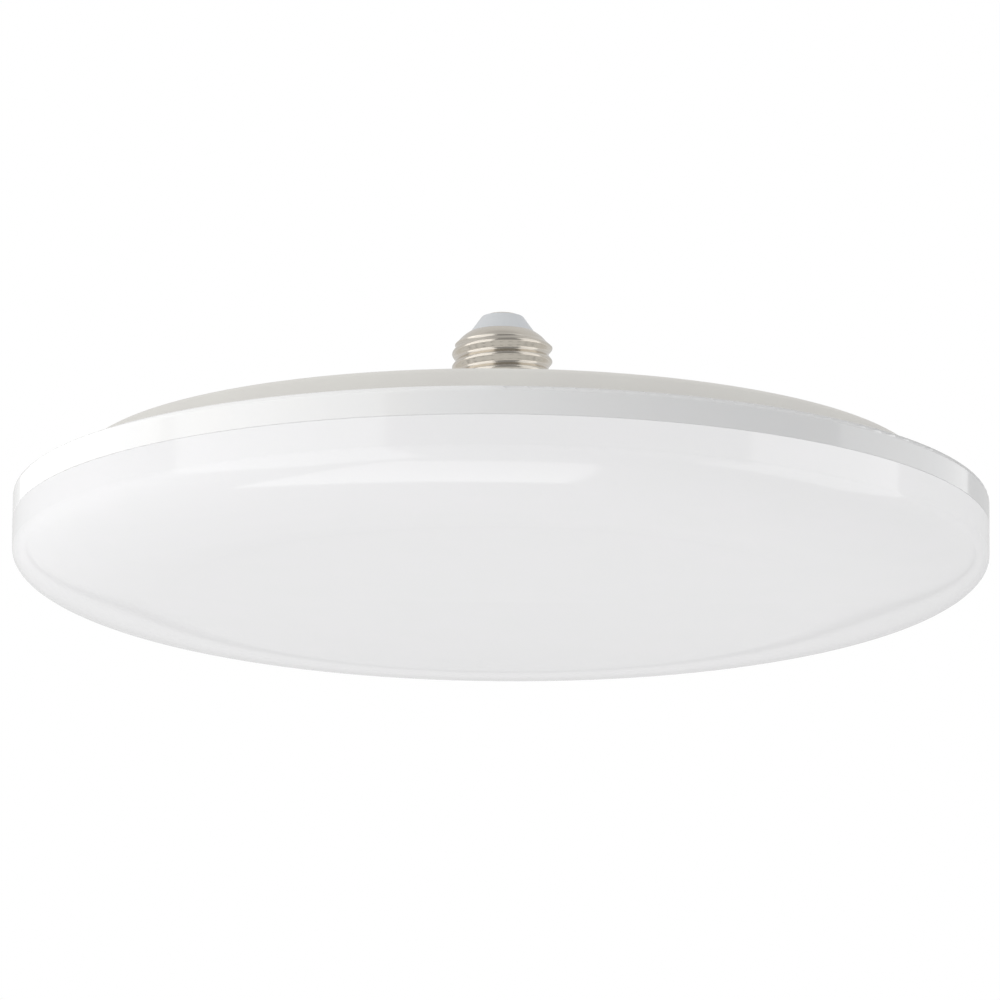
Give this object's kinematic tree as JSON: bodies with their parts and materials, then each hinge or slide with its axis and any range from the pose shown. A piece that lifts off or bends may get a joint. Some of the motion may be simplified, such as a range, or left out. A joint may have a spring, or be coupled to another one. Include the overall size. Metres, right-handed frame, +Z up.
{
  "type": "flat round led lamp bulb",
  "caption": "Flat round saucer-shaped LED lamp with an opal diffuser, stepped white back, vented neck and a screw cap, as a ceiling bulb.",
  "frame": {"origin": "on the lamp's axis at the lower edge of the screw shell", "axes": "+Z up along the axis into the lampholder, so that the diffuser faces -Z; X and Y across the disc"},
  "size_m": [0.254, 0.254, 0.0768],
  "materials": {
    "shell_nickel": "nickel-plated brass, satin to bright",
    "cap_glass": "pale blue-grey insulator",
    "contact_metal": "plated contact",
    "rim_white": "glossy white moulding",
    "pan_paint": "warm pale grey powder coat on aluminium",
    "cup_white": "white moulding",
    "opal": "opal white, glossy",
    "spreader_aluminium": "mill finish",
    "fastener_steel": "zinc plated",
    "pad_grey": "silicone pad",
    "solder_mask_white": "white solder mask on aluminium",
    "led_body": "white package",
    "led_phosphor": "yellow phosphor",
    "terminal_white": "white nylon",
    "bush_black": "black bush",
    "sheet_film": "milky film",
    "circuit_green": "green solder mask",
    "moulded_black": "black moulding",
    "tinned_wire": "tinned",
    "ferrite": "dark ferrite",
    "bobbin_black": "black phenolic",
    "winding_tape": "yellow tape",
    "copper_wire": "enamelled copper",
    "can_sleeve": "dark blue sleeve",
    "film_box": "yellow box",
    "varistor_blue": "blue coating",
    "resistor_body": "grey-green coating",
    "lead_black": "black insulation",
    "lead_white": "white insulation",
    "lead_red": "red insulation"
  },
  "bodies": {
    "lamp": {"back_pan": "pan_paint", "board_screws": "fastener_steel", "bridge_rectifier": "moulded_black", "cap_insulator": "cap_glass", "centre_contact": "contact_metal", "choke_core": "ferrite", "choke_winding": "copper_wire", "clinch_nuts": "fastener_steel", "component_pins": "tinned_wire", "cup_screws": "fastener_steel", "dc_lead_negative": "lead_black", "dc_lead_positive": "lead_red", "driver_board": "circuit_green", "driver_chip": "moulded_black", "driver_cup": "cup_white", "driver_screws": "fastener_steel", "film_capacitor": "film_box", "fuse_resistor": "resistor_body", "heat_spreader": "spreader_aluminium", "input_capacitor": "can_sleeve", "insulating_sheet": "sheet_film", "lead_bush": "bush_black", "led_board": "solder_mask_white", "led_connector": "terminal_white", "led_packages": "led_body", "led_phosphors": "led_phosphor", "live_lead": "lead_black", "neutral_lead": "lead_white", "output_capacitor": "can_sleeve", "output_diode": "moulded_black", "rim_ring": "rim_white", "screw_shell": "shell_nickel", "thermal_pad": "pad_grey", "transformer_bobbin": "bobbin_black", "transformer_core": "ferrite", "transformer_winding": "winding_tape", "varistor": "varistor_blue"},
    "diffuser_cover": {"diffuser": "opal", "diffuser_hooks": "opal"}
  },
  "joints": [
    {"name": "diffuser_pull_off", "type": "slide", "parent": "lamp", "child": "diffuser_cover", "axis": [0, 0, -1], "range_m": [0, 0.05], "deforming": ["diffuser_hooks"]}
  ]
}
